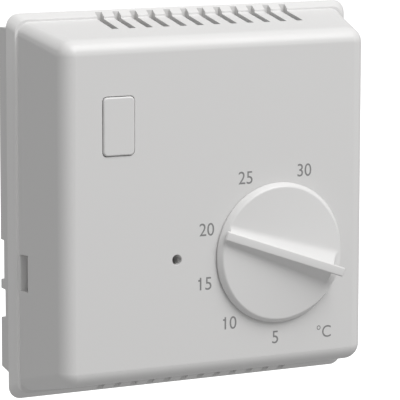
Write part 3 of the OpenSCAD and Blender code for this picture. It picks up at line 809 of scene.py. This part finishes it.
@dataclass
class DialPrint:
    """The temperature scale printed round the knob. Sizes in millimetres."""

    wardrobe: Wardrobe
    face_z: float
    knob: Vector
    radius: float = 16.9
    digit_h: float = 2.5
    narrow: float = 0.96
    weight: float = 0.0
    flag_reach: float = 0.34
    flag_drop: float = 0.2
    flag_half: float = 0.16
    flag_top: float = 0.08
    flag_lap: float = 0.05
    degree_mark: tuple[float, float] = (24.0, -26.8)
    proud: float = 0.012
    sunk: float = 0.01

    def _lettering(self, text: str, centre: Vector) -> bpy.types.Object:
        """One printed number, as a thin closed mesh that lies on the face.

        Args:
            text: what it says.
            centre: where its middle goes on the bench plane.

        Returns:
            The mesh object, in the row frame.
        """
        curve = bpy.data.curves.new("print", "FONT")
        curve.body = text
        curve.size = 1.0
        curve.offset = self.weight
        curve.extrude = 0.5
        curve.resolution_u = 5
        source = bpy.data.objects.new("print", curve)
        bpy.context.scene.collection.objects.link(source)
        bpy.context.view_layer.update()
        mesh = bpy.data.meshes.new_from_object(
            source.evaluated_get(bpy.context.evaluated_depsgraph_get()))
        bpy.data.objects.remove(source)
        bpy.data.curves.remove(curve)
        xs, ys = [v.co.x for v in mesh.vertices], [v.co.y for v in mesh.vertices]
        tall = self.digit_h / (max(ys) - min(ys))
        mesh.transform(Matrix.Translation((-(max(xs) + min(xs)) / 2, -(max(ys) + min(ys)) / 2, 0)))
        mesh.transform(Matrix.Diagonal((tall * self.narrow, tall, self.proud + self.sunk, 1)))
        one_x = min(v.co.x for v in mesh.vertices)
        mesh.transform(Matrix.Translation(
            (centre.x, centre.y, self.face_z + (self.proud - self.sunk) / 2)))
        bm = bmesh.new()
        bm.from_mesh(mesh)
        bpy.data.meshes.remove(mesh)
        bmesh.ops.remove_doubles(bm, verts=bm.verts, dist=1e-5)
        if text.startswith("1"):
            drop = self.digit_h * self.flag_drop
            top = centre.y + self.digit_h / 2 - self.flag_top
            low, high = self.face_z - self.sunk, self.face_z + self.proud
            x = centre.x + one_x
            flag = boxes([(
                Vector((x - self.flag_reach, top - drop - self.flag_half, low)),
                Vector((x + self.flag_lap, top - drop + self.flag_half, high)))])
            made = bpy.data.meshes.new("flag")
            flag.to_mesh(made)
            flag.free()
            bm.from_mesh(made)
            bpy.data.meshes.remove(made)
        return mesh_object("print", bm)

    def scale(self) -> bpy.types.Object:
        """All the numbers and the degree mark, joined into one piece.

        Returns:
            The finished piece.
        """
        marks = {"5": 268.0, "10": 231.0, "15": 197.0, "20": 160.5, "25": 116.0, "30": 70.0}
        bm = bmesh.new()
        places = []
        for text, degrees in marks.items():
            turn = math.radians(degrees)
            places.append((text, self.knob + self.radius * Vector((math.cos(turn), math.sin(turn), 0))))
        places.append(("°C", Vector((*self.degree_mark, 0))))
        for text, centre in places:
            letter = self._lettering(text, centre)
            bm.from_mesh(letter.data)
            mesh = letter.data
            bpy.data.objects.remove(letter)
            bpy.data.meshes.remove(mesh)
        piece = mesh_object("dial_print", bm)
        stand_up(piece)
        return settle(piece, Body.CASE, self.wardrobe.get("dial_print"))


# ------------------------------------------------------------------ knob


def blend_low(a: float, b: float, r: float) -> float:
    """The lower of two heights, with the crease between them rounded over r."""
    t = max(r - abs(a - b), 0) / r
    return min(a, b) - t * t * r / 4


def blend_high(a: float, b: float, r: float) -> float:
    """The higher of two heights, with the crease between them filled over r."""
    return -blend_low(-a, -b, r)


@dataclass
class Knob:
    """The setting knob: a bevelled disc with a rising grip fin. Sizes in millimetres."""

    wardrobe: Wardrobe
    face_z: float
    centre: Vector
    pointer_deg: float = 160.5
    rim_in: float = 12.9
    rim_top: float = 1.66
    foot_gap: float = 0.25
    side_h: float = 0.28
    eave: float = 1.38
    crown_nose: float = 1.45
    crown_rise: float = 0.045
    fin_nose: float = 2.5
    bar_w: float = 1.85
    bar_t: float = 0.9
    undercut: float = 0.2
    crease_high: float = 1.1
    crease_low: float = 0.2
    bar_nose: float = -13.5
    bar_tail: float = 12.8
    body_tail: float = 10.5
    body_lean: float = 0.45
    flare: float = 0.95
    bar_edge: float = 0.3
    bar_corner: float = 0.03
    tail_extra: float = 3.0
    ridge_round: float = 0.4
    tail_round: float = 0.5
    rim_round: float = 0.28
    rim_steep: float = 25.0

    def __post_init__(self) -> None:
        """Takes the radius and the fin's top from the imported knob."""
        box = BenchBox.of("knob")
        self.radius = box.size.x / 2
        self.fin_tail = box.high.z - self.face_z

    def _ridge(self, u: float) -> float:
        """Height of the top of the grip bar above the cover face, at u along the pointer line."""
        span = (u - self.bar_nose) / (self.bar_tail - self.bar_nose)
        return self.fin_nose + (self.fin_tail - self.fin_nose) * span

    def _bar(self) -> bmesh.types.BMesh:
        """The rounded bar along the top of the fin, which overhangs its body at the tall end."""
        half_w, half_t, edge = self.bar_w / 2, self.bar_t / 2, self.bar_edge
        turns = [math.radians(a) for a in (0, 30, 60, 85)]
        ends = [(edge * math.sin(turn), edge * (1 - math.cos(turn))) for turn in turns]
        stations = [
            Station(
                half_w - drop, half_t - drop, max(edge - drop, self.bar_corner), self.bar_nose + edge - reach)
            for reach, drop in reversed(ends)] + [
            Station(
                half_w - drop, half_t - drop, max(edge - drop, self.bar_corner), self.bar_tail - edge + reach)
            for reach, drop in ends]
        bm = Loft(6).through(stations)
        rise = (self.fin_tail - self.fin_nose) / (self.bar_tail - self.bar_nose)
        lie_down = Matrix((
            (0, 0, 1, 0), (1, 0, 0, 0), (0, 1, rise, self._ridge(0) - half_t), (0, 0, 0, 1)))
        bmesh.ops.transform(bm, matrix=lie_down, verts=bm.verts)
        return bm

    def _height(self, u: float, v: float) -> float:
        """Height of the knob's top above the cover face.

        Args:
            u: distance along the pointer line, towards the tall end.
            v: distance across it.

        Returns:
            The height.
        """
        r = math.hypot(u, v)
        crown = self.crown_nose + self.crown_rise * (u + self.radius)
        face = crown - (crown - self.eave) * min(abs(v) / self.rim_in, 1)
        ridge = self._ridge(u) - self.bar_t / 2
        flank = ridge - (abs(v) - self.bar_w / 2 + self.undercut) / self.flare
        end = self.eave + (self.body_tail - u) / self.body_lean + self.tail_extra
        fin = blend_low(blend_low(ridge, flank, self.ridge_round), end, self.tail_round)
        top = blend_high(face, fin, self.crease_high if v > 0 else self.crease_low)
        if r < self.rim_in:
            edge = self.rim_top + self.rim_steep * (self.rim_in - r)
        else:
            bevel_h = self.rim_top - self.foot_gap - self.side_h
            edge = self.rim_top - bevel_h * (r - self.rim_in) / (self.radius - self.rim_in)
        return blend_low(top, edge, self.rim_round)

    def _radii(self) -> list[float]:
        """Radii of the rings on top, closer together towards the edge."""
        inner = [0.22 * i for i in range(1, 56)]
        wall = [self.rim_in - 0.7 + 0.05 * i for i in range(14)]
        steps = 14
        outer = [self.rim_in + (self.radius - self.rim_in) * i / steps for i in range(steps + 1)]
        return [r for r in inner if r < wall[0] - 0.05] + wall + outer

    def piece(self) -> bpy.types.Object:
        """The knob with its hub and spindle socket.

        Returns:
            The finished piece.
        """
        top = [(0.0, 1.0)] + [(r, 1.0) for r in self._radii()]
        hub_r, hub_z, sleeve_r, sleeve_z, bore_r, bore_z = 5.3, -1.0, 3.3, -3.4, 2.06, 1.2
        under = [
            (self.radius, self.foot_gap), (hub_r, self.foot_gap), (hub_r, hub_z), (sleeve_r, hub_z),
            (sleeve_r, sleeve_z), (bore_r, sleeve_z), (bore_r, bore_z - 0.4), (0.0, bore_z - 0.4)]
        bm = bmesh.new()
        verts = [bm.verts.new((r, 0, z)) for r, z in top + under]
        edges = [bm.edges.new(pair) for pair in zip(verts, verts[1:])]
        bmesh.ops.spin(
            bm, geom=verts + edges, cent=(0, 0, 0), axis=(0, 0, 1), angle=2 * math.pi, steps=360,
            use_merge=True, use_duplicate=False)
        for vert in bm.verts:
            if abs(vert.co.z - 1.0) < 1e-6:
                vert.co.z = self._height(vert.co.x, vert.co.y)
        bmesh.ops.remove_doubles(bm, verts=bm.verts, dist=1e-4)
        bmesh.ops.recalc_face_normals(bm, faces=bm.faces)
        place = Matrix.Translation((self.centre.x, self.centre.y, self.face_z)) @ Matrix.Rotation(
            math.radians(self.pointer_deg + 180), 4, "Z")
        bmesh.ops.transform(bm, matrix=place, verts=bm.verts)
        bar = self._bar()
        bmesh.ops.transform(bar, matrix=place, verts=bar.verts)
        piece = mesh_object("dial_knob", bm)
        carve(piece, mesh_object("tool", bar), "UNION")
        piece.data.shade_smooth()
        piece.data.set_sharp_from_angle(angle=math.radians(40))
        stand_up(piece)
        return settle(piece, Body.DIAL, self.wardrobe.get("knob_plastic"), ["knob"])


# ------------------------------------------------------------------ studio


@dataclass
class Studio:
    """Pale floor, soft lights and the camera. Sizes in metres."""

    yaw_deg: float = 28.286
    pitch_deg: float = 8.573
    roll_deg: float = 0.12
    distance: float = 0.5886
    lens: float = 264.3
    aim: tuple[float, float, float] = (0.00699, 0.0, -0.00205)
    floor_drop: float = 1.2
    floor_half: float = 30.0

    def camera(self) -> None:
        """Stands the camera to the left of the object and a little above it."""
        yaw, pitch = math.radians(self.yaw_deg), math.radians(self.pitch_deg)
        look = Vector((math.sin(yaw) * math.cos(pitch), math.cos(yaw) * math.cos(pitch), -math.sin(pitch)))
        data = bpy.data.cameras.new("camera")
        data.lens = self.lens
        data.sensor_width = 36
        data.clip_start, data.clip_end = 0.01, 200
        made = bpy.data.objects.new("camera", data)
        turn = look.to_track_quat("-Z", "Y").to_matrix().to_4x4()
        roll = Matrix.Rotation(math.radians(self.roll_deg), 4, "Z")
        made.matrix_world = Matrix.Translation(Vector(self.aim) - look * self.distance) @ turn @ roll
        bpy.context.scene.collection.objects.link(made)
        bpy.context.scene.camera = made

    def _area(self, name: str, place: Colour, size: float, power: float) -> None:
        """A square soft light that points at the object.

        Args:
            name: name of the light.
            place: where it stands.
            size: length of its sides.
            power: its power in watts.
        """
        data = bpy.data.lights.new(name, "AREA")
        data.shape = "SQUARE"
        data.size = size
        data.energy = power
        made = bpy.data.objects.new(name, data)
        turn = (-Vector(place)).to_track_quat("-Z", "Y").to_matrix().to_4x4()
        made.matrix_world = Matrix.Translation(place) @ turn
        bpy.context.scene.collection.objects.link(made)

    def lights(self) -> None:
        """A large soft light above and in front, weak fills from the left and the top, and an even room."""
        self._area("key", (0.35, -0.75, 1.05), 0.9, 13.7)
        self._area("left_fill", (-1.3, -0.35, 0.25), 0.9, 0.35)
        self._area("top_fill", (-0.1, 0.1, 1.3), 0.8, 1.6)
        world = bpy.data.worlds.new("studio")
        world.use_nodes = True
        tree = world.node_tree
        tree.nodes.clear()
        out = tree.nodes.new("ShaderNodeOutputWorld")
        room = wired(tree, "ShaderNodeBackground", {"Color": (1, 1, 1, 1), "Strength": 0.36})
        seen = wired(tree, "ShaderNodeBackground", {"Color": (1, 1, 1, 1), "Strength": 1.0})
        path = tree.nodes.new("ShaderNodeLightPath")
        mix = wired(tree, "ShaderNodeMixShader", {
            "0": path.outputs["Is Camera Ray"], "1": room.outputs[0], "2": seen.outputs[0]})
        tree.links.new(mix.outputs[0], out.inputs["Surface"])
        bpy.context.scene.world = world

    def floor(self) -> None:
        """A plain pale floor, far enough below that no shadow of the object shows."""
        bm = bmesh.new()
        bmesh.ops.create_grid(bm, x_segments=1, y_segments=1, size=self.floor_half)
        bmesh.ops.translate(bm, vec=(0, 0, -self.floor_drop), verts=bm.verts)
        made = mesh_object("floor", bm)
        pale = bpy.data.materials.new("pale_floor")
        pale.use_nodes = True
        shader = pale.node_tree.nodes["Principled BSDF"]
        shader.inputs["Base Color"].default_value = (0.9, 0.9, 0.9, 1)
        shader.inputs["Roughness"].default_value = 0.9
        shader.inputs["Emission Color"].default_value = (1, 1, 1, 1)
        shader.inputs["Emission Strength"].default_value = 1.0
        made.data.materials.append(pale)
        made.visible_diffuse = False
        made.visible_glossy = False

    def build(self) -> None:
        """Builds the whole studio."""
        self.floor()
        self.lights()
        self.camera()
        bpy.context.scene.view_settings.view_transform = "Standard"
        log.info("studio: floor, lights and camera")


def main() -> None:
    """Builds every sub-assembly in order."""
    logging.basicConfig(level=logging.INFO, format="%(message)s", force=True)
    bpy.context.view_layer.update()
    wardrobe = Wardrobe()
    wardrobe.dress_nodes()
    knob_box = BenchBox.of("knob")
    knob = Vector((knob_box.middle.x, knob_box.middle.y, 0))
    face_z = BenchBox.of("front_cover").high.z
    case = Case(wardrobe, face_z, knob)
    case.cover()
    case.insert()
    case.base()
    DialPrint(wardrobe, face_z, knob).scale()
    Knob(wardrobe, face_z, knob).piece()
    Studio().build()


if __name__ == "__main__":
    main()
